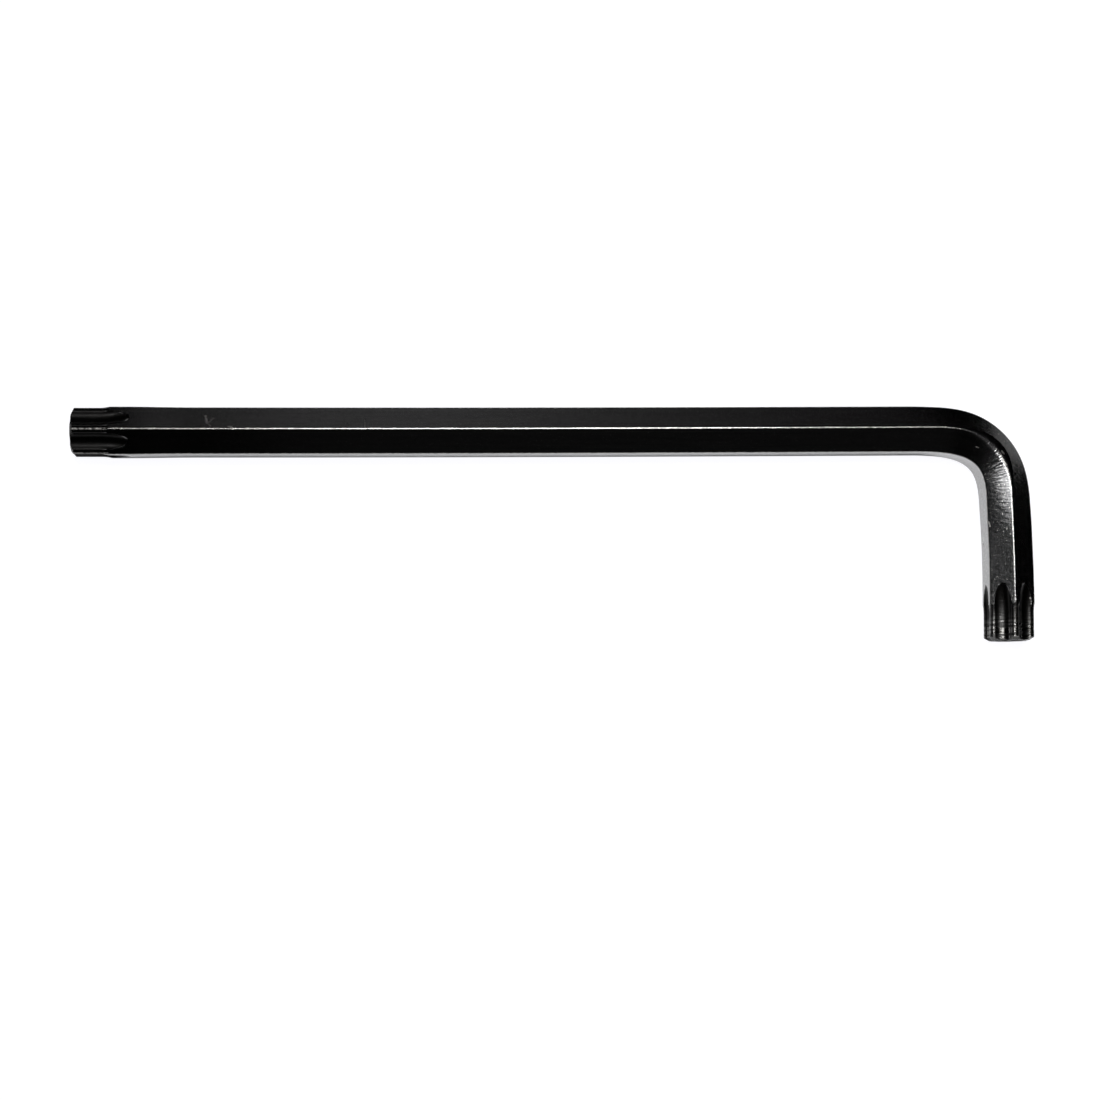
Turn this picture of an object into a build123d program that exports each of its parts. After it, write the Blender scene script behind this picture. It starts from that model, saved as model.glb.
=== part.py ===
from build123d import *
from math import acos, cos, degrees, radians, sin, sqrt, tan
import os

# Star-drive key, size 50: one bar of 8 mm hexagon steel, bent once and ground to a
# six-lobed star at each end.  Millimetres.  The key lies on its side, with the bend
# in the horizontal plane: the long arm runs along X, the short arm points to -Y, and
# the origin is below the middle of the whole key, at the level that it lies on.
# Distances along the bar count from where its bend starts at the long arm.

# Bar
across_flats = 8.0        # hexagon bar, flat to flat
corner_radius = 0.4       # drawn corners of the bar
long_arm = 164.0          # long tip to the outer flat of the short arm
short_arm = 40.6          # short tip to the outer flat of the long arm

# Bend
bend_angle = 90.0
bend_radius = 9.85        # tightest, at the middle of the bar
bend_ease = 7.0           # length over which it tightens, and eases off again
bend_reach = 4.5          # length of arm beside the bend that is out of true with it
outer_draw = 0.39         # outer flat is stretched inwards
outer_shrink = 0.25       # and narrower, at each edge
inner_spread = 0.40       # inner flat is pressed taller, at each edge
inner_bulge = 0.30        # and swells ahead of the tightest part
inner_middle = 6.0        # where it swells most
inner_reach = 8.0         # and how far the swelling goes to each side
ridge_shift = 0.50        # top and bottom corners slide outwards
ridge_radius = 2.3        # and are rubbed round
ridge_middle = 12.5
ridge_reach = 8.5
bend_sections = 18        # spaces between the sections that the bend is made through
curve_steps = 60          # straight steps that the bend's middle line is summed from

# Bar behind each tip, upset where the tip was formed
long_upset = 0.20         # extra width across flats behind the long tip
short_upset = 0.08        # and behind the short tip
upset_length = 9.0        # full swelling, from the end face
upset_fade = 11.0         # length over which the long arm's swelling fades out

# Star at each tip
star_diameter = 8.83      # across the lobes
root_diameter = 6.39      # across the flutes
lobe_radius = 0.75        # rounding of a lobe
star_length = 4.8         # full star, from the end face
lobe_wheel = 7.0          # radius by which the lobes rise to the bar corners
flute_wheel = 15.0        # and by which the flutes rise to the bar flats

# Chamfer at each tip
face_diameter = 6.9       # flat end face inside the chamfer
chamfer_angle = 30.0      # between the chamfer and the end face

tool_overrun = 1.0        # how far the cutters reach past the metal

flat_count = 6
flat_step = 360 / flat_count


def turned(along):
    """Angle in radians that the bar has turned through at a distance along it."""
    tightening = min(max(along, 0), bend_ease)
    steady = min(max(along - bend_ease, 0), bend_steady)
    easing = min(max(along - bend_ease - bend_steady, 0), bend_ease)
    return ((tightening**2 - easing**2) / bend_ease / 2 + steady + easing) / bend_radius


def bar_plane(along):
    """Plane across the bar, with its x axis towards the outside of the bend."""
    curved = min(max(along, 0), bend_length)
    step = curved / curve_steps
    headings = [turned(step * (i + 0.5)) for i in range(curve_steps)]
    middle = Vector(sum(map(cos, headings)), -sum(map(sin, headings))) * step
    heading = turned(along)
    onward = Vector(cos(heading), -sin(heading))
    outward = Vector(sin(heading), cos(heading))
    return Plane(middle + onward * (along - curved), x_dir=outward, z_dir=onward)


def swell(along, middle, reach):
    """Share of a distortion at a distance along the bar: 1 at its middle, 0 past its reach."""
    return cos(radians(90) * min(abs(along - middle) / reach, 1)) ** 2


def bar_section(flats, stretched=0.0, bulged=0.0, rubbed=0.0):
    """Rounded hexagon with corners up and down, and its distortions from 0 to 1."""
    edge = flats / sqrt(3) / 2
    inner = (-flats / 2 - inner_bulge * bulged, edge + inner_spread * stretched)
    ridge = (ridge_shift * rubbed, 2 * edge)
    outer = (flats / 2 - outer_draw * stretched, edge - outer_shrink * stretched)
    upper = [inner, ridge, outer]
    lower = [(across, -height) for across, height in reversed(upper)]
    hexagon = make_face(Polyline(*upper, *lower, close=True))
    hexagon = fillet(hexagon.vertices().sort_by(Axis.Y)[1:-1], corner_radius)
    by_height = hexagon.vertices().sort_by(Axis.Y)
    ridge_round = corner_radius + (ridge_radius - corner_radius) * rubbed
    return fillet([by_height[0], by_height[-1]], ridge_round)


def bend():
    """Bend between the arms, whose section goes out of true and back over its length."""
    sections = []
    for i in range(bend_sections + 1):
        along = (bend_length + 2 * bend_reach) * i / bend_sections - bend_reach
        stretched = swell(along, bend_length / 2, bend_length / 2 + bend_reach)
        bulged = swell(along, inner_middle, inner_reach)
        rubbed = swell(along, ridge_middle, ridge_reach)
        sections.append(bar_plane(along) * bar_section(across_flats, stretched, bulged, rubbed))
    return loft(sections)


def arm(*stations):
    """Straight arm through its stations: distances along the bar and widths across flats."""
    return loft([bar_plane(along) * bar_section(flats) for along, flats in stations], ruled=True)


def chamfer_waste(upset):
    """What the chamfer takes off a tip that ends at Z = 0."""
    face = face_diameter / 2
    slope = tan(radians(chamfer_angle))
    outside = (across_flats + upset) / sqrt(3) + tool_overrun
    waste = Polyline(
        (face - tool_overrun, 0, tool_overrun * slope),
        (outside, 0, (face - outside) * slope),
        (outside, 0, tool_overrun * slope),
        close=True,
    )
    return revolve(make_face(waste), Axis.Z)


def short_arc(start, end, middle):
    """Arc about middle, the short way round."""
    radius = (start - middle).length
    crown = middle + (start + end - middle * 2).normalized() * radius
    return ThreePointArc(start, crown, end)


def run_out(wheel_edge, wheel_radius, depth):
    """Wheel edge as it rises out of a cut that is depth deep at the end of the star."""
    bottom = root_diameter / 2
    wheel_axis = Axis((bottom + wheel_radius, 0, -star_length), (0, -1, 0))
    return revolve(wheel_edge, wheel_axis, degrees(acos(1 - depth / wheel_radius)))


def star_cutters(upset):
    """What the two wheels take off the +X flat of a tip that ends at Z = 0."""
    root = root_diameter / 2
    lobe_middle = star_diameter / 2 - lobe_radius
    half_step = radians(flat_step / 2)
    lobe = Vector(lobe_middle * cos(half_step), lobe_middle * sin(half_step))
    crest = lobe * (star_diameter / 2 / lobe_middle)
    # The flute touches the lobe on each side: from centre to centre is both radii.
    offset = root - lobe.X
    flute_radius = (offset**2 + lobe.Y**2 - lobe_radius**2) / (lobe_radius - offset) / 2
    flute = Vector(root + flute_radius, 0)
    touch = lobe + (flute - lobe).normalized() * lobe_radius
    outside = (across_flats + upset) / 2 + tool_overrun
    width = crest.Y + tool_overrun
    half_profile = Curve() + [
        short_arc(Vector(root, 0), touch, flute),
        short_arc(touch, crest, lobe),
        Polyline(crest, (crest.X, width), (outside, width), (outside, 0)),
    ]
    star_end = Pos(0, 0, -star_length)
    profile = star_end * make_face(half_profile + mirror(half_profile, Plane.XZ))
    disc = star_end * Pos(flute.X, 0) * Circle(flute_radius)
    depth = outside - root
    full_star = extrude(profile, star_length + tool_overrun, dir=(0, 0, 1))
    lobe_run_out = run_out(profile, lobe_wheel, depth)
    flute_run_out = run_out(disc.face(), flute_wheel, depth)
    return [full_star + lobe_run_out, flute_run_out]


def finish_tip(bar, tip, upset):
    """Chamfer the tip of the bar and grind the star into it, one flat at a time."""
    bar -= tip * chamfer_waste(upset)
    for cutter in star_cutters(upset):
        for flat in range(flat_count):
            bar -= tip * Rot(0, 0, flat * flat_step) * cutter
    return bar


bend_steady = radians(bend_angle) * bend_radius - bend_ease
bend_length = bend_steady + 2 * bend_ease
bend_end = bar_plane(bend_length).origin
long_tip = across_flats / 2 + bend_end.X - long_arm
short_tip = bend_length + bend_end.Y + short_arm - across_flats / 2
long_flats = across_flats + long_upset
short_flats = across_flats + short_upset

bar = arm(
    (long_tip, long_flats),
    (long_tip + upset_length, long_flats),
    (long_tip + upset_length + upset_fade, across_flats),
    (-bend_reach, across_flats),
)
bar += bend()
bar += arm(
    (bend_length + bend_reach, across_flats),
    (short_tip - upset_length, short_flats),
    (short_tip, short_flats),
)
bar = finish_tip(bar, -bar_plane(long_tip), long_upset)
bar = finish_tip(bar, bar_plane(short_tip), short_upset)

box = bar.bounding_box()
star_key = Pos(-box.center().X, -box.center().Y, -box.min.Z) * bar

os.makedirs("parts", exist_ok=True)
export_step(star_key, "parts/star_key.step")
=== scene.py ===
from math import acos, atan, atan2, cos, radians, sin, sqrt, tan

import bpy
import numpy as np
from mathutils import Euler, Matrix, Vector


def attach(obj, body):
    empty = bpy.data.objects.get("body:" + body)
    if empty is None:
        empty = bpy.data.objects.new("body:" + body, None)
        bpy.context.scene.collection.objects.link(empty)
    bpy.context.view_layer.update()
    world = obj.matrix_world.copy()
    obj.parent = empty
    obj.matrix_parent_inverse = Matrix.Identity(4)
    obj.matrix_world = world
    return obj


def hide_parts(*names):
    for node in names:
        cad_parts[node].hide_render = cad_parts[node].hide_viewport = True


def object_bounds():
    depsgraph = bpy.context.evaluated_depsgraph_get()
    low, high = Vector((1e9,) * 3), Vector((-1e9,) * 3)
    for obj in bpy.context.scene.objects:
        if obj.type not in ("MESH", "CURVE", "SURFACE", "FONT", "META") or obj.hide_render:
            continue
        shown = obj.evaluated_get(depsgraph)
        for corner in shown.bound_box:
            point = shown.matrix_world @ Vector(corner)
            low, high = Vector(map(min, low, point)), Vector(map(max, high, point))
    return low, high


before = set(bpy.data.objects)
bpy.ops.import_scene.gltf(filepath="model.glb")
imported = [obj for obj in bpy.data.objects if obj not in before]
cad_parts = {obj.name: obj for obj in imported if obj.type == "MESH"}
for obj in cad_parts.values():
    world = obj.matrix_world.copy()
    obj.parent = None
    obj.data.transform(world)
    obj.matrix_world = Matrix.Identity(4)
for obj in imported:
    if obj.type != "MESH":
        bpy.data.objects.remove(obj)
cad_low, cad_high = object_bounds()

MM = 0.001

# ---------------------------------------------------------------------------
# Key, in millimetres, to the same sizes as the solid that the mesh stands for.
# Distances along the bar count from where its bend starts at the long arm.  Across
# the bar, u points to the outside of the bend and v up.
# ---------------------------------------------------------------------------
ACROSS_FLATS = 8.0
CORNER_RADIUS = 0.4
LONG_ARM = 164.0           # long tip to the outer flat of the short arm
SHORT_ARM = 40.6           # short tip to the outer flat of the long arm

BEND_ANGLE = 90.0
BEND_RADIUS = 9.85         # tightest, at the middle of the bar
BEND_EASE = 7.0            # length over which it tightens, and eases off again
BEND_REACH = 4.5           # length of arm beside the bend that is out of true with it
OUTER_DRAW = 0.39          # outer flat is stretched inwards
OUTER_SHRINK = 0.25        # and narrower, at each edge
INNER_SPREAD = 0.40        # inner flat is pressed taller, at each edge
INNER_BULGE = 0.30         # and swells ahead of the tightest part
INNER_MIDDLE = 6.0
INNER_REACH = 8.0
RIDGE_SHIFT = 0.50         # top and bottom corners slide outwards
RIDGE_RADIUS = 2.3         # and are rubbed round
RIDGE_MIDDLE = 12.5
RIDGE_REACH = 8.5
BEND_STEADY = radians(BEND_ANGLE) * BEND_RADIUS - BEND_EASE
BEND_LENGTH = BEND_STEADY + 2 * BEND_EASE

LONG_UPSET = 0.20          # extra width across flats behind the long tip
SHORT_UPSET = 0.08         # and behind the short tip
UPSET_LENGTH = 9.0         # full swelling, from the end face
UPSET_FADE = 11.0          # length over which the long arm's swelling fades out

STAR_DIAMETER = 8.83       # across the lobes
ROOT_DIAMETER = 6.39       # across the flutes
LOBE_RADIUS = 0.75
STAR_LENGTH = 4.8          # full star, from the end face
LOBE_WHEEL = 7.0           # radius by which the lobes rise to the bar corners
FLUTE_WHEEL = 15.0         # and by which the flutes rise to the bar flats

FACE_DIAMETER = 6.9
CHAMFER_ANGLE = 30.0

# What this one key has gone through, beyond its design
CROWN = 0.11               # the flats beside the inside of the bend are pressed round
CROWN_MIDDLE = 16.0
CROWN_REACH = 15.0
NARROWED = 0.17            # and the inner side is drawn in
NARROWED_MIDDLE = 32.0
NARROWED_REACH = 16.0
TWIST = radians(2.6)       # the short arm is turned about itself
TWIST_START = 9.0
TWIST_LENGTH = 12.0
LONG_BOW = 0.12            # the arms are not quite straight
SHORT_BOW = 0.10
EDGE_BREAK = 0.03          # rounding of the end face's edge in the flutes

# Columns of the mesh in half a flat, from its middle to the corner
FLUTE_COLUMNS = 10         # middle to the flute's edge
FLAT_COLUMNS = 6           # from there to the rounding of the corner
CORNER_COLUMNS = 8         # half of the rounding
HALF_COLUMNS = FLUTE_COLUMNS + FLAT_COLUMNS + CORNER_COLUMNS
# and over a whole flat, from corner to corner
COLUMN_ORDER = np.concatenate([np.arange(HALF_COLUMNS, 0, -1), np.arange(HALF_COLUMNS)])
COLUMN_SIGN = np.repeat([-1, 1], HALF_COLUMNS)
SIDES = 6
HALF_SIDE = radians(30)
PLAIN_CREASE = radians(14)  # where the flute's edge column runs on a plain flat
LEAST_CREASE = radians(3)   # and how near it comes to the middle as the flute ends
CREASE_SETTLE = 3.0         # length over which it then moves out again
BESIDE_SETTLE = 2.0         # and over which the columns beside it leave the star's places

# Rings of the mesh
FIRST_RING = 0.9            # first even ring of a tip, from the end face
FIRST_SHARES = (0, 0.15, 0.45, 1)     # rings on the way to it from the chamfer's edge
STAR_RINGS = np.linspace(1.5, STAR_LENGTH, 6)
RUN_OUT_END = 5.4           # past the full star, where both wheels are out of the bar
RUN_OUT_RINGS = ((1.8, 18), (4.0, 15), (RUN_OUT_END, 28))    # end and count of each run
UPSET_RINGS = 8
ARM_RINGS = 38
BEND_RINGS = 64

# Skin of the key: each pair is where an eased step starts, and its length
GROUND_FADE = 0.08          # depth below the flats at which the skin is wholly ground
GROUND_END_FADE = 0.2       # length past the wheels over which that stops
WORN_FADE = (0.05, 0.23)    # off a corner, round the bar
WORN_RADIUS = (4.2, 0.1)    # out from the middle of the bar
WEAR_AND_SHEEN_STOP = (1, 7)          # into the bend
WEAR_AND_SHEEN_START = (11.5, 3)      # and out of it
WEAR_AND_SHEEN_LESS = 0.75            # share by which the wear, and with it the ridge highlight, is painted less at the short tip
WEAR_AND_SHEEN_LESS_OVER = (12, 30)

# Radii between which a ray's first cut is looked for, in steps and then by halving
SEARCHED = np.linspace(2.8, 5.4, 521)
HALVINGS = 24
CREASE_GAP = 1e-4           # how far outside its neighbour a flute counts as ended
CREASE_ANGLES = np.linspace(0, HALF_SIDE, 601)
SHARP_ANGLE = radians(24)


def smooth(value, start=0, length=1):
    """Eased step of a value, from 0 at start to 1 a length further."""
    share = np.clip((value - start) / length, 0, 1)
    return share * share * (3 - 2 * share)


# Star profile, in the frame of one flat: u square to the flat, v along it
LOBE_MIDDLE = STAR_DIAMETER / 2 - LOBE_RADIUS
LOBE_U = LOBE_MIDDLE * cos(HALF_SIDE)
LOBE_V = LOBE_MIDDLE * sin(HALF_SIDE)
ROOT = ROOT_DIAMETER / 2
CREST_U = STAR_DIAMETER / 2 * cos(HALF_SIDE)
CREST_V = STAR_DIAMETER / 2 * sin(HALF_SIDE)
ROOT_OFFSET = ROOT - LOBE_U
FLUTE_RADIUS = (ROOT_OFFSET**2 + LOBE_V**2 - LOBE_RADIUS**2) / (LOBE_RADIUS - ROOT_OFFSET) / 2
FLUTE_U = ROOT + FLUTE_RADIUS
FLUTE_SWEEP = atan2(LOBE_V, FLUTE_U - LOBE_U)    # half of a flute's arc


def flute_edge(v):
    """u of the flute's arc at v."""
    inside = FLUTE_RADIUS**2 - v**2
    return np.where(inside > 0, FLUTE_U - np.sqrt(np.maximum(inside, 0)), np.inf)


def star_edge(v):
    """u of the whole star profile at v: flute, lobe, then straight on past the crest."""
    inside = np.maximum(LOBE_RADIUS**2 - (v - LOBE_V) ** 2, 0)
    lobe = LOBE_U + np.sqrt(inside)
    touch_v = FLUTE_RADIUS * sin(FLUTE_SWEEP)
    return np.where(v < touch_v, flute_edge(v), np.where(v < CREST_V, lobe, CREST_U))


def risen(edge, wheel, past):
    """Edge of a wheel's cut, past beyond the end of the full star."""
    axis = ROOT + wheel
    inside = (axis - edge) ** 2 - past**2
    reached = (edge < axis) & (inside > 0)
    return np.where(reached, axis - np.sqrt(np.maximum(inside, 0)), np.inf)


def first_cut(surface, angles):
    """Radius at which a ray at each angle first passes the surface u(v), or infinity."""
    u = SEARCHED * np.cos(angles)[:, None]
    v = SEARCHED * np.sin(angles)[:, None]
    beyond = u > surface(v)
    found = beyond.any(1)
    high = SEARCHED[beyond.argmax(1)]
    low = high - (SEARCHED[1] - SEARCHED[0])
    for _ in range(HALVINGS):
        middle = (low + high) / 2
        past = middle * np.cos(angles) > surface(middle * np.sin(angles))
        high = np.where(past, middle, high)
        low = np.where(past, low, middle)
    return np.where(found, (low + high) / 2, np.inf)


def hexagon_radius(angles, flats):
    """Radius of the rounded hexagon, for angles from a flat's middle to its corner."""
    half = flats / 2
    straight = half / np.cos(angles)
    corner = (half - CORNER_RADIUS) / cos(HALF_SIDE)
    off = HALF_SIDE - angles
    inside = np.maximum(CORNER_RADIUS**2 - (corner * np.sin(off)) ** 2, 0)
    rounded = corner * np.cos(off) + np.sqrt(inside)
    straight_to = atan((half - CORNER_RADIUS) * tan(HALF_SIDE) / half)
    return np.where(angles < straight_to, straight, rounded)


def lobe_cut(angles, past):
    """Radius that the lobe wheel leaves, past beyond the end of the full star."""
    return first_cut(lambda v: risen(star_edge(v), LOBE_WHEEL, past), angles)


def flute_cut(angles, past):
    """Radius that the flute wheel leaves, past beyond the end of the full star."""
    return first_cut(lambda v: risen(flute_edge(v), FLUTE_WHEEL, past), angles)


def tip_radius(angles, flats, past):
    """Radius of a tip's section, past beyond the end of the full star."""
    radius = np.minimum(hexagon_radius(angles, flats), lobe_cut(angles, past))
    return np.minimum(radius, flute_cut(angles, past))


def crease_angle(flats, past):
    """Angle of the edge between the flute and what is beside it."""
    beside = np.minimum(hexagon_radius(CREASE_ANGLES, flats), lobe_cut(CREASE_ANGLES, past))
    outside = flute_cut(CREASE_ANGLES, past) > beside + CREASE_GAP
    return CREASE_ANGLES[outside.argmax()]


def flat_shares(crease_share):
    """Places of the columns on half a flat, as shares of its straight part."""
    inner = crease_share * np.arange(FLUTE_COLUMNS) / FLUTE_COLUMNS
    outer = crease_share + (1 - crease_share) * np.arange(FLAT_COLUMNS + 1) / FLAT_COLUMNS
    return np.concatenate([inner, outer])


def plain_angles(flats, crease):
    """Angles of the columns of half a flat on the plain hexagon."""
    half = flats / 2
    straight = (half - CORNER_RADIUS) * tan(HALF_SIDE)
    flat = np.arctan(flat_shares(half * tan(crease) / straight) * straight / half)
    turn = HALF_SIDE * np.arange(1, CORNER_COLUMNS + 1) / CORNER_COLUMNS
    corner_u = half - CORNER_RADIUS + CORNER_RADIUS * np.cos(turn)
    corner_v = straight + CORNER_RADIUS * np.sin(turn)
    return np.concatenate([flat, np.arctan2(corner_v, corner_u)])


def star_angles():
    """Angles of the columns of half a flat on the star, evenly spaced on each arc."""
    sweep = FLUTE_SWEEP * np.arange(FLUTE_COLUMNS + 1) / FLUTE_COLUMNS
    flute = np.arctan2(FLUTE_RADIUS * np.sin(sweep), FLUTE_U - FLUTE_RADIUS * np.cos(sweep))
    lobe_columns = FLAT_COLUMNS + CORNER_COLUMNS
    turn = -FLUTE_SWEEP + (FLUTE_SWEEP + HALF_SIDE) * np.arange(1, lobe_columns + 1) / lobe_columns
    lobe = np.arctan2(LOBE_V + LOBE_RADIUS * np.sin(turn), LOBE_U + LOBE_RADIUS * np.cos(turn))
    return np.concatenate([flute, lobe])


def tip_angles(flats, past):
    """Angles of the columns, which follow the flute's edge as the wheel runs out."""
    star = star_angles()
    if past <= 0:
        return star
    apex = sqrt(FLUTE_WHEEL**2 - (FLUTE_WHEEL + ROOT - flats / 2) ** 2)
    if past < apex:
        crease = max(crease_angle(flats, past), LEAST_CREASE)
    else:
        settled = smooth(past, apex, CREASE_SETTLE)
        crease = LEAST_CREASE + (PLAIN_CREASE - LEAST_CREASE) * settled
    edge = star[FLUTE_COLUMNS]
    plain_flute, plain_beside = np.split(plain_angles(flats, crease), [FLUTE_COLUMNS + 1])
    star_flute, star_beside = np.split(star, [FLUTE_COLUMNS + 1])
    flute = star_flute / edge * crease if past < apex else plain_flute
    beside = crease + (star_beside - edge) / (HALF_SIDE - edge) * (HALF_SIDE - crease)
    share = smooth(past, 0, BESIDE_SETTLE)
    return np.concatenate([flute, (1 - share) * beside + share * plain_beside])


def whole_ring(angles, radius):
    """Ring of (u, v) points from the angles and radii of half a flat."""
    on_flat = COLUMN_SIGN * angles[COLUMN_ORDER]
    turn = np.concatenate([on_flat + 2 * HALF_SIDE * side for side in range(SIDES)])
    reach = per_column(radius)
    return np.column_stack([reach * np.cos(turn), reach * np.sin(turn)])


def per_column(values):
    """Values for half a flat, repeated round the whole ring."""
    return np.tile(values[COLUMN_ORDER], SIDES)


def turned(along):
    """Angle that the bar has turned through at a distance along it."""
    tightening = np.clip(along, 0, BEND_EASE)
    steady = np.clip(along - BEND_EASE, 0, BEND_STEADY)
    easing = np.clip(along - BEND_EASE - BEND_STEADY, 0, BEND_EASE)
    return ((tightening**2 - easing**2) / BEND_EASE / 2 + steady + easing) / BEND_RADIUS


# Middle line of the bend, in fine steps from its start
CURVE_STEPS = 2000
STEPS = np.linspace(0, BEND_LENGTH, CURVE_STEPS + 1)
STEP_TURNS = turned((STEPS[1:] + STEPS[:-1]) / 2)
STEP_X = np.concatenate([[0], np.cumsum(np.cos(STEP_TURNS))]) * STEPS[1]
STEP_Y = np.concatenate([[0], np.cumsum(-np.sin(STEP_TURNS))]) * STEPS[1]
LONG_TIP = ACROSS_FLATS / 2 + STEP_X[-1] - LONG_ARM
SHORT_TIP = BEND_LENGTH + STEP_Y[-1] + SHORT_ARM - ACROSS_FLATS / 2


def place(ring, along):
    """Ring set across the bar at a distance along it, which may differ from point to point."""
    along = np.broadcast_to(np.asarray(along, float), (len(ring),))
    curved = np.clip(along, 0, BEND_LENGTH)
    turn = turned(along)
    onward = along - curved
    bow = LONG_BOW * np.sin(np.pi * np.clip(along / LONG_TIP, 0, 1))
    short_share = (along - BEND_LENGTH) / (SHORT_TIP - BEND_LENGTH)
    spread = SHORT_BOW * np.sin(np.pi * np.clip(short_share, 0, 1))
    x = np.interp(curved, STEPS, STEP_X) + onward * np.cos(turn) + ring[:, 0] * np.sin(turn)
    y = np.interp(curved, STEPS, STEP_Y) - onward * np.sin(turn) + ring[:, 0] * np.cos(turn)
    return np.column_stack([x + spread, y - bow, ring[:, 1]])


def swell(along, middle, reach):
    """Share of a distortion at a distance along the bar: 1 at its middle, 0 past its reach."""
    return np.cos(np.pi / 2 * np.minimum(abs(along - middle) / reach, 1)) ** 2


def bend_section(along):
    """Ring of (u, v) points of the bar at a distance along it, out of true in the bend."""
    stretched = swell(along, BEND_LENGTH / 2, BEND_LENGTH / 2 + BEND_REACH)
    bulged = swell(along, INNER_MIDDLE, INNER_REACH)
    rubbed = swell(along, RIDGE_MIDDLE, RIDGE_REACH)
    edge = ACROSS_FLATS / sqrt(3) / 2
    half = ACROSS_FLATS / 2
    outer = (half - OUTER_DRAW * stretched, edge - OUTER_SHRINK * stretched)
    ridge = (RIDGE_SHIFT * rubbed, 2 * edge)
    inner = (-half - INNER_BULGE * bulged, edge + INNER_SPREAD * stretched)
    upper = [outer, ridge, inner]
    corners = np.array(upper + [(u, -v) for u, v in reversed(upper)])
    ridge_round = CORNER_RADIUS + (RIDGE_RADIUS - CORNER_RADIUS) * rubbed
    radii = [CORNER_RADIUS, ridge_round, CORNER_RADIUS] * 2
    corner_shares = np.arange(-CORNER_COLUMNS, CORNER_COLUMNS + 1) / CORNER_COLUMNS
    arcs = []
    for i, corner in enumerate(corners):
        before = corners[i - 1] - corner
        after = corners[(i + 1) % SIDES] - corner
        before /= np.linalg.norm(before)
        after /= np.linalg.norm(after)
        inward = before + after
        inward /= np.linalg.norm(inward)
        half_angle = acos(np.clip(before @ after, -1, 1)) / 2
        centre = corner + inward * radii[i] / sin(half_angle)
        turn = (np.pi / 2 - half_angle) * corner_shares
        c, s = np.cos(turn)[:, None], np.sin(turn)[:, None]
        side = np.array([inward[1], -inward[0]])
        arcs.append(centre + radii[i] * (s * side - c * inward))
    straight = (half - CORNER_RADIUS) * tan(HALF_SIDE)
    shares = flat_shares(half * tan(PLAIN_CREASE) / straight)
    across = np.concatenate([-shares[::-1], shares[1:]])
    ring = []
    for side in range(SIDES):
        before, after = arcs[side - 1], arcs[side]
        start, stop = before[-1], after[0]
        flat = (start + stop) / 2 + (stop - start) / 2 * across[:, None]
        ring += [before[CORNER_COLUMNS:-1], flat, after[1:CORNER_COLUMNS]]
    return np.concatenate(ring)


def pressed(ring, along):
    """Ring narrowed on its inner side, with both flats beside that pressed round, and turned."""
    narrowed = NARROWED * swell(along, NARROWED_MIDDLE, NARROWED_REACH)
    crown = CROWN * swell(along, CROWN_MIDDLE, CROWN_REACH)
    u = np.where(ring[:, 0] < 0, ring[:, 0] * (1 - narrowed / ACROSS_FLATS * 2), ring[:, 0])
    ring = np.column_stack([u, ring[:, 1]])
    for middle in (4 * HALF_SIDE, -4 * HALF_SIDE):
        outward = np.array([cos(middle), sin(middle)])
        beside = np.array([-sin(middle), cos(middle)])
        across = ring @ beside / (ring @ outward) / tan(HALF_SIDE)
        on_flat = (ring @ outward > 0) & (abs(across) < 1)
        ring = ring + outward * (crown * np.where(on_flat, 1 - across**2, 0))[:, None]
    u, v = ring.T
    twist = TWIST * smooth(along, TWIST_START, TWIST_LENGTH)
    c, s = np.cos(twist), np.sin(twist)
    return np.column_stack([u * c + v * s, v * c - u * s])


def tip_rings(upset, fade):
    """(distance from the end face, ring) of each ring of a tip, from its end inwards."""
    star = star_angles()
    radius = tip_radius(star, ACROSS_FLATS + upset, 0)
    face = FACE_DIAMETER / 2
    slope = tan(radians(CHAMFER_ANGLE))
    rim = np.minimum(face, radius - EDGE_BREAK)
    chamfer = np.maximum((radius - face) * slope, EDGE_BREAK)
    rings = [(per_column(0 * rim), whole_ring(star, rim))]
    for share in FIRST_SHARES:
        distance = chamfer + (FIRST_RING - chamfer) * share
        rings.append((per_column(distance), whole_ring(star, radius)))
    stations = [STAR_RINGS]
    start = 0
    for stop, count in RUN_OUT_RINGS:
        stations.append(STAR_LENGTH + np.linspace(start, stop, count + 1)[1:])
        start = stop
    upset_end = UPSET_LENGTH + fade
    stations.append(np.linspace(STAR_LENGTH + RUN_OUT_END, upset_end, UPSET_RINGS + 1)[1:])
    for distance in np.concatenate(stations):
        flats = ACROSS_FLATS + upset * (1 - smooth(distance, UPSET_LENGTH, fade))
        angles = tip_angles(flats, distance - STAR_LENGTH)
        ring = whole_ring(angles, tip_radius(angles, flats, max(distance - STAR_LENGTH, 0)))
        rings.append((np.full(len(ring), distance), ring))
    return rings


def bar_rings():
    """Every ring of the key, from the long tip to the short one, as (along, ring)."""
    arm_start = LONG_TIP + UPSET_LENGTH + UPSET_FADE
    bend_stop = BEND_LENGTH + BEND_REACH
    on_arm = np.linspace(arm_start, -BEND_REACH, ARM_RINGS + 2)[1:-1]
    in_bend = np.linspace(-BEND_REACH, bend_stop, BEND_RINGS + 1)[:-1]
    long_rings = tip_rings(LONG_UPSET, UPSET_FADE)
    short_rings = tip_rings(SHORT_UPSET, SHORT_TIP - UPSET_LENGTH - bend_stop)
    rings = [(LONG_TIP + distance, ring) for distance, ring in long_rings]
    rings += [(along, bend_section(along)) for along in np.concatenate([on_arm, in_bend])]
    rings += [(SHORT_TIP - distance, ring) for distance, ring in reversed(short_rings)]
    return rings


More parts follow.
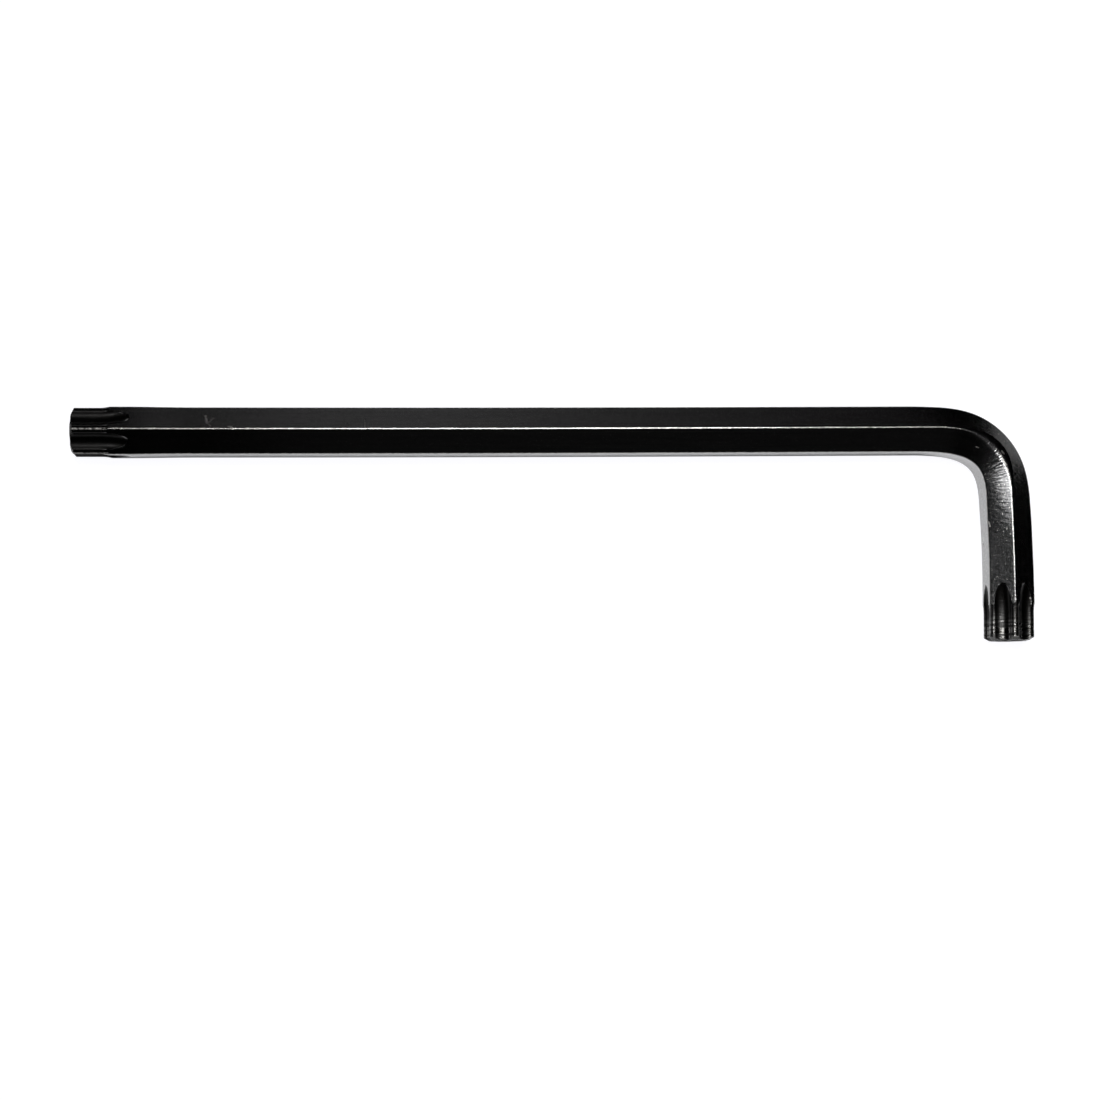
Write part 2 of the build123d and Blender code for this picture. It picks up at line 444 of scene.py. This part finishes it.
def ground(bar):
    """1 where a point of a tip was ground below the flats of the bar, 0 elsewhere."""
    along, u, v = bar.T
    outward = 2 * HALF_SIDE * np.arange(SIDES)
    reach = (u[:, None] * np.cos(outward) + v[:, None] * np.sin(outward)).max(1)
    past = np.minimum(along - LONG_TIP, SHORT_TIP - along) - STAR_LENGTH
    below = smooth(ACROSS_FLATS / 2 - reach, 0, GROUND_FADE)
    return below * (1 - smooth(past, RUN_OUT_END, GROUND_END_FADE))


def wear(bar):
    """How bare each point of the bar is worn: most on its corners and the star's crests."""
    along, u, v = bar.T
    radius = np.hypot(u, v)
    turn = np.arctan2(v, u) / (2 * HALF_SIDE)
    off_corner = abs(turn - np.floor(turn) - 0.5) * 2 * HALF_SIDE * radius
    on_corner = 1 - smooth(off_corner, *WORN_FADE)
    on_crest = smooth(radius, *WORN_RADIUS)
    # Partly painted shade: the wear is taken off the middle of the bend, and less and less of it
    # is left towards the short tip, to dim the ridge highlights there.
    wear_and_sheen_kept = np.maximum(1 - smooth(along, *WEAR_AND_SHEEN_STOP), smooth(along, *WEAR_AND_SHEEN_START))
    wear_and_sheen_kept = wear_and_sheen_kept * (1 - WEAR_AND_SHEEN_LESS * smooth(along, *WEAR_AND_SHEEN_LESS_OVER))
    return on_corner * on_crest * wear_and_sheen_kept


def skin_faces(count, ring_count):
    """Faces of a skin over rings of count points, which two last points close at its ends."""
    around = [(k, (k + 1) % count) for k in range(count)]
    starts = [i * count for i in range(ring_count)]
    faces = []
    for here, there in zip(starts, starts[1:]):
        faces += [(here + k, here + n, there + n, there + k) for k, n in around]
    first, last = ring_count * count, ring_count * count + 1
    for k, n in around:
        faces += [(first, n, k), (last, starts[-1] + k, starts[-1] + n)]
    return faces


def key_mesh():
    """Closed mesh of the key, in the row frame, in metres."""
    rings = bar_rings()
    count = len(rings[0][1])
    points = [place(pressed(ring, along), along) for along, ring in rings]
    bar = [np.column_stack([np.broadcast_to(along, (count,)), ring]) for along, ring in rings]
    for part in (points, bar):
        part += [part[0].mean(0, keepdims=True), part[-1].mean(0, keepdims=True)]
    bar = np.concatenate(bar)
    # The tips and the height keep the solid's place, whatever the bows and the twist add.
    shift = np.array([
        cad_low.x / MM - LONG_TIP,
        cad_low.y / MM - (ACROSS_FLATS / 2 - SHORT_ARM),
        (cad_low.z + cad_high.z) / 2 / MM,
    ])
    points = (np.concatenate(points) + shift) * MM

    mesh = bpy.data.meshes.new("key_steel")
    mesh.from_pydata(points.tolist(), [], skin_faces(count, len(rings)))
    mesh.validate()
    attribute = mesh.attributes.new("on_bar", "FLOAT_VECTOR", "POINT")
    attribute.data.foreach_set("vector", bar.astype(np.float32).ravel())
    for name, values in (("worn", wear(bar)), ("ground", ground(bar))):
        attribute = mesh.attributes.new(name, "FLOAT", "POINT")
        attribute.data.foreach_set("value", values.astype(np.float32))
    mesh.shade_smooth()
    mesh.set_sharp_from_angle(angle=SHARP_ANGLE)
    return mesh


class Graph:
    """Shader nodes of a material or world, where a value is an output socket or a constant."""

    def __init__(self, owner):
        owner.use_nodes = True
        self.nodes = owner.node_tree.nodes
        self.links = owner.node_tree.links

    def node(self, kind, **settings):
        node = self.nodes.new("ShaderNode" + kind)
        for name, value in settings.items():
            setattr(node, name, value)
        return node

    def put(self, value, socket):
        """Link a value to an input socket, or set the socket to it."""
        if isinstance(value, bpy.types.NodeSocket):
            self.links.new(value, socket)
        else:
            socket.default_value = value

    def math(self, operation, first, second):
        node = self.node("Math", operation=operation)
        self.put(first, node.inputs[0])
        self.put(second, node.inputs[1])
        return node.outputs[0]

    def times(self, first, second):
        return self.math("MULTIPLY", first, second)

    def plus(self, first, second):
        return self.math("ADD", first, second)

    def rest(self, value):
        """What is left of 1."""
        return self.math("SUBTRACT", 1.0, value)

    def vector(self, operation, first, second, output="Vector"):
        node = self.node("VectorMath", operation=operation)
        self.put(first, node.inputs[0])
        self.put(second, node.inputs[1])
        return node.outputs[output]

    def step(self, value, low, high, to_low=0.0, to_high=1.0):
        """Eased step from to_low, where the value is low, to to_high, where it is high."""
        node = self.node("MapRange", interpolation_type="SMOOTHSTEP")
        self.put(value, node.inputs["Value"])
        self.put(low, node.inputs["From Min"])
        self.put(high, node.inputs["From Max"])
        self.put(to_low, node.inputs["To Min"])
        self.put(to_high, node.inputs["To Max"])
        return node.outputs["Result"]

    def attribute(self, name, output):
        return self.node("Attribute", attribute_name=name).outputs[output]

    def split(self, vector):
        """Sockets X, Y and Z of a vector."""
        node = self.node("SeparateXYZ")
        self.put(vector, node.inputs[0])
        return node.outputs

    def noise(self, place, scale, detail):
        """Noise from 0 to 1 about 0.5; scale is in spots per millimetre along each axis."""
        node = self.node("TexNoise")
        self.put(self.vector("MULTIPLY", place, scale), node.inputs["Vector"])
        self.put(1.0, node.inputs["Scale"])
        self.put(detail, node.inputs["Detail"])
        return node.outputs["Fac"]

    def mix(self, share, first, second):
        """Colour that goes from first to second as the share goes from 0 to 1."""
        node = self.node("Mix", data_type="RGBA")
        self.put(share, node.inputs[0])
        colours = [socket for socket in node.inputs if socket.type == "RGBA"]
        for socket, value in zip(colours, (first, second)):
            self.put(value, socket)
        return next(socket for socket in node.outputs if socket.type == "RGBA")

    def scratch(self, place, start, stop, width):
        """1 on the line from start to stop, fading to 0 at half its width to each side."""
        onward = Vector(stop) - Vector(start)
        to_share = tuple(onward / onward.length_squared)
        from_start = self.vector("SUBTRACT", place, start)
        share = self.vector("DOT_PRODUCT", from_start, to_share, "Value")
        share = self.math("MAXIMUM", self.math("MINIMUM", share, 1.0), 0.0)
        nearest = self.node("VectorMath", operation="SCALE")
        self.put(onward, nearest.inputs[0])
        self.put(share, nearest.inputs["Scale"])
        off = self.vector("DISTANCE", from_start, nearest.outputs[0], "Value")
        return self.step(off, 0.0, width / 2, 1.0, 0.0)

    def marks(self, place, marks):
        """Strength of the strongest mark at a place."""
        strongest = 0.0
        for start, stop, width, strength in marks:
            mark = self.times(self.scratch(place, start, stop, width), strength)
            strongest = self.math("MAXIMUM", strongest, mark)
        return strongest


# Marks in the skin, as start and stop (mm along the bar, outwards, up), width and strength
SCUFFS = (
    ((-123.8, 2.3, 3.3), (-123.5, 1.1, 4.0), 0.8, 1.0),
    ((-122.5, 1.9, 3.5), (-123.2, 1.1, 4.0), 0.7, 0.5),
    ((-123.5, 1.1, 4.0), (-122.8, 0.4, 4.4), 0.5, 0.6),
    ((-119.9, 0.4, 4.4), (-119.3, 0.4, 4.4), 0.5, 1.0),
    ((-97.0, 1.7, 3.7), (-97.0, 0.2, 4.5), 0.3, 0.4),
    ((9.1, -1.8, 3.7), (9.7, -1.7, 3.7), 0.35, 0.8),
    ((13.2, 0.7, 4.2), (13.6, 0.7, 4.2), 0.6, 1.0),
    ((25.2, -3.8, 2.4), (25.9, -3.7, 2.5), 0.45, 1.0),
    ((38.3, 3.1, 2.7), (38.4, 3.1, 2.7), 0.4, 1.0),
)
PITS = (
    ((-100.1, 0.8, 4.1), (-100.0, 0.8, 4.1), 0.5, 1.0),
    ((28.7, -4.0, -0.9), (28.9, -4.0, -0.9), 0.6, 1.0),
)


# Colours of the metal: the black skin in two tones, darker where the tips are ground (partly
# painted shade), thin and brighter on the short star (partly painted highlight), and without it
DARK_SKIN = (0.036, 0.036, 0.038, 1)
LIGHT_SKIN = (0.068, 0.068, 0.068, 1)
GROUND_SKIN_AND_SHADE = (0.008, 0.0077, 0.0075, 1)
POLISHED_AND_SHEEN_SKIN = (0.060, 0.058, 0.054, 1)
BARE_STEEL = (0.35, 0.34, 0.322, 1)


def key_material():
    """Black-oxide steel, worn brighter along the corners of the bar and the star's lobes."""
    material = bpy.data.materials.new("black_oxide")
    graph = Graph(material)
    shader = graph.nodes["Principled BSDF"]
    on_bar = graph.attribute("on_bar", "Vector")
    worn = graph.attribute("worn", "Fac")
    ground_here = graph.attribute("ground", "Fac")
    along = graph.split(on_bar)["X"]
    grain = graph.noise(on_bar, (2.2, 2.6, 2.6), 4.0)
    fine = graph.noise(on_bar, (7.0, 7.0, 7.0), 2.0)
    streaks = graph.noise(on_bar, (0.10, 4.5, 4.5), 2.0)

    # The corners are worn in beads, further apart in depth on the ground tips.
    beads = graph.step(graph.noise(on_bar, (1.5, 0.7, 0.7), 2.0), 0.36, 0.60)
    depth = graph.math(
        "MAXIMUM", graph.step(along, -4.0, 3.0, 0.5, 0.7), graph.times(ground_here, 0.9))
    beads = graph.plus(graph.times(graph.math("SUBTRACT", beads, 1.0), depth), 1.0)
    bare = graph.times(graph.times(worn, beads), graph.step(grain, 0.30, 0.62, 0.55, 1.0))
    # Partly painted shade: the wear is fainter on the ground tips, to dim the lobes' crest lines.
    bare = graph.times(bare, graph.rest(graph.times(ground_here, 0.45)))

    # Scuffs and flecks, the flecks only from the bend to the short star
    scuffed = graph.times(graph.marks(on_bar, SCUFFS), graph.step(grain, 0.35, 0.60, 0.4, 1.0))
    flecked = graph.step(graph.noise(on_bar, (2.6, 2.6, 2.6), 1.0), 0.63, 0.72)
    flecked = graph.times(flecked, graph.step(along, 6.0, 12.0, 0.0, 0.5))
    flecked = graph.times(flecked, graph.rest(ground_here))
    bare = graph.math("MAXIMUM", graph.math("MAXIMUM", bare, scuffed), flecked)

    # The short star's flutes get a brighter, smoother skin in bands across them: partly polish,
    # partly a painted highlight, so that they glint more than the long star's flutes.
    star_end = float(SHORT_TIP - STAR_LENGTH)
    bands = graph.step(graph.noise(on_bar, (2.3, 0.2, 0.2), 1.0), 0.42, 0.58, 0.1, 1.0)
    polish_and_sheen = graph.times(graph.step(along, star_end, star_end + 3.4), bands)
    # Darker and rougher where the tips are ground and at the pits; in the flutes and run-out
    # pockets the darkness is partly painted shade, for the dark surroundings they mirror.
    dull_and_shaded = graph.math("MAXIMUM", ground_here, graph.marks(on_bar, PITS))
    dull_and_shaded = graph.times(dull_and_shaded, graph.rest(polish_and_sheen))

    mottled = graph.plus(graph.times(grain, 0.5), graph.times(streaks, 0.5))
    colour = graph.mix(graph.step(mottled, 0.36, 0.62), DARK_SKIN, LIGHT_SKIN)
    colour = graph.mix(dull_and_shaded, colour, GROUND_SKIN_AND_SHADE)
    colour = graph.mix(polish_and_sheen, colour, POLISHED_AND_SHEEN_SKIN)
    graph.put(graph.mix(bare, colour, BARE_STEEL), shader.inputs["Base Color"])
    graph.put(1.0, shader.inputs["Metallic"])

    rough = graph.step(fine, 0.3, 0.7, 0.19, 0.25)
    for share, more in ((dull_and_shaded, 0.16), (worn, 0.06), (polish_and_sheen, -0.05), (scuffed, 0.30)):
        rough = graph.plus(rough, graph.times(share, more))
    graph.put(rough, shader.inputs["Roughness"])
    coat_rough = graph.plus(graph.step(fine, 0.3, 0.7, 0.08, 0.13), graph.times(dull_and_shaded, 0.10))
    graph.put(coat_rough, shader.inputs["Coat Roughness"])
    graph.put(graph.rest(graph.times(dull_and_shaded, 0.85)), shader.inputs["Coat Weight"])
    graph.put(1.5, shader.inputs["Coat IOR"])

    # Along the arm the skin is drawn; from the bend to the short tip it is puckered.
    ripples = graph.noise(on_bar, (3.0, 0.7, 0.7), 1.0)
    drawn = graph.plus(graph.times(streaks, 0.010), graph.times(grain, 0.012))
    puckers = graph.plus(graph.times(ripples, 0.032), graph.times(grain, 0.010))
    puckered = graph.step(along, -4.0, 3.0)
    height = graph.plus(
        graph.times(puckers, puckered), graph.times(drawn, graph.rest(puckered)))
    bump = graph.node("Bump")
    graph.put(1.0, bump.inputs["Strength"])
    graph.put(MM, bump.inputs["Distance"])
    graph.put(height, bump.inputs["Height"])
    for name in ("Normal", "Coat Normal"):
        graph.put(bump.outputs[0], shader.inputs[name])
    return material


def make_key():
    """The one piece of the part, which stands for its one solid."""
    key = bpy.data.objects.new("key_steel", key_mesh())
    bpy.context.scene.collection.objects.link(key)
    key.data.materials.append(key_material())
    weighted = key.modifiers.new("weighted", "WEIGHTED_NORMAL")
    weighted.keep_sharp = True
    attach(key, "root")
    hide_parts("star_key")


# ---------------------------------------------------------------------------
# Studio, in metres
# ---------------------------------------------------------------------------
FLOOR_REACH = 3.0
FLOOR_GREY = (0.9, 0.9, 0.9, 1)
PAPER_WHITE = (0.97, 0.97, 1, 1)
PAPER_STRENGTH = 1.25
PAPER_SEEN = 0.8           # share of the plain white in what the camera sees
PAINTED_REFLECTION_SHARE = 0.47      # painted reflection: share of plain white in what the key mirrors of the floor between its arms
PAINTED_REFLECTION_END_X = (0.0733, 0.0738)     # where that painted reflection ends under the short arm, leaving a painted contact shadow past it
PAINTED_REFLECTION_END_Y = (0.0115, 0.0117)     # and under the long arm


def make_floor():
    """White floor, which keeps the key's shadow, and glows between the key's arms only in its
    reflections: a painted reflection.
    """
    reach = FLOOR_REACH
    corners = [(-reach, -reach, 0), (reach, -reach, 0), (reach, reach, 0), (-reach, reach, 0)]
    mesh = bpy.data.meshes.new("floor")
    mesh.from_pydata(corners, [], [(0, 1, 2, 3)])
    floor = bpy.data.objects.new("floor", mesh)
    bpy.context.scene.collection.objects.link(floor)

    material = bpy.data.materials.new("floor_white")
    graph = Graph(material)
    graph.nodes.clear()
    lit = graph.node("BsdfDiffuse")
    graph.put(FLOOR_GREY, lit.inputs["Color"])
    paper = graph.node("Emission")
    graph.put(PAPER_WHITE, paper.inputs["Color"])
    graph.put(PAPER_STRENGTH, paper.inputs["Strength"])
    path = graph.node("LightPath")
    position = graph.split(graph.node("NewGeometry").outputs["Position"])
    # Painted reflection: glossy rays see the floor between the arms glow, but not the floor under
    # the key, which paints a dark contact-shadow line low on the inner faces.
    left = graph.step(position["X"], *PAINTED_REFLECTION_END_X, 1.0, 0.0)
    near = graph.step(position["Y"], *PAINTED_REFLECTION_END_Y, 1.0, 0.0)
    painted_reflection = graph.times(graph.times(left, near), path.outputs["Is Glossy Ray"])
    painted_reflection = graph.times(painted_reflection, PAINTED_REFLECTION_SHARE)
    share = graph.plus(graph.times(path.outputs["Is Camera Ray"], PAPER_SEEN), painted_reflection)
    mix = graph.node("MixShader")
    for value, socket in zip((share, lit.outputs[0], paper.outputs[0]), mix.inputs):
        graph.put(value, socket)
    graph.put(mix.outputs[0], graph.node("OutputMaterial").inputs["Surface"])
    mesh.materials.append(material)


def make_world():
    """White world that only the camera sees."""
    world = bpy.data.worlds.new("studio")
    bpy.context.scene.world = world
    graph = Graph(world)
    background = graph.nodes["Background"]
    graph.put((1, 1, 1, 1), background.inputs["Color"])
    camera_ray = graph.node("LightPath").outputs["Is Camera Ray"]
    graph.put(camera_ray, background.inputs["Strength"])


def add_softbox(name, place, aim, size, radiance, spread=180):
    """Area lamp at a place, turned to what it is aimed at; a grid narrows its spread."""
    data = bpy.data.lights.new(name, "AREA")
    data.shape = "RECTANGLE"
    data.size, data.size_y = size
    data.spread = radians(spread)
    data.energy = radiance * np.pi * size[0] * size[1]
    lamp = bpy.data.objects.new(name, data)
    bpy.context.scene.collection.objects.link(lamp)
    lamp.location = place
    lamp.rotation_euler = (Vector(place) - Vector(aim)).to_track_quat("Z", "Y").to_euler()


def make_lights():
    """Soft lamps, each of which shows in one set of the key's flats."""
    behind = (0.025, 0.62, 0.25)
    long_wide = (0.42, 0.12)
    add_softbox("overhead", (0.026, 0.128, 0.58), (0.03, 0, 0), (0.20, 0.10), 3.3, 50)
    add_softbox(
        "left", (-0.126, 0.060, 0.430), (0.078, -0.01, 0.005), (0.24, 0.24), 0.30, 28)
    add_softbox("back_left", behind, (0.042, 0.013, 0.017), long_wide, 0.0018, 13)
    add_softbox("back_right", behind, (-0.009, 0.013, 0.017), long_wide, 0.0031, 22)
    add_softbox("front", (0.12, -0.55, 0.42), (0, 0, 0), (0.45, 0.30), 0.03)


def make_camera():
    """Camera that looks down on the key as in the photograph."""
    data = bpy.data.cameras.new("camera")
    data.lens = 76.43
    data.sensor_width = 36
    data.shift_x = -0.0410
    data.shift_y = 0.0053
    camera = bpy.data.objects.new("camera", data)
    camera.location = (-0.0220, -0.0430, 0.4017)
    camera.rotation_euler = Euler((radians(5.470), radians(-4.037), radians(-0.709)))
    bpy.context.scene.collection.objects.link(camera)
    bpy.context.scene.camera = camera


make_key()
make_floor()
make_world()
make_lights()
make_camera()
bpy.context.scene.view_settings.view_transform = "Standard"
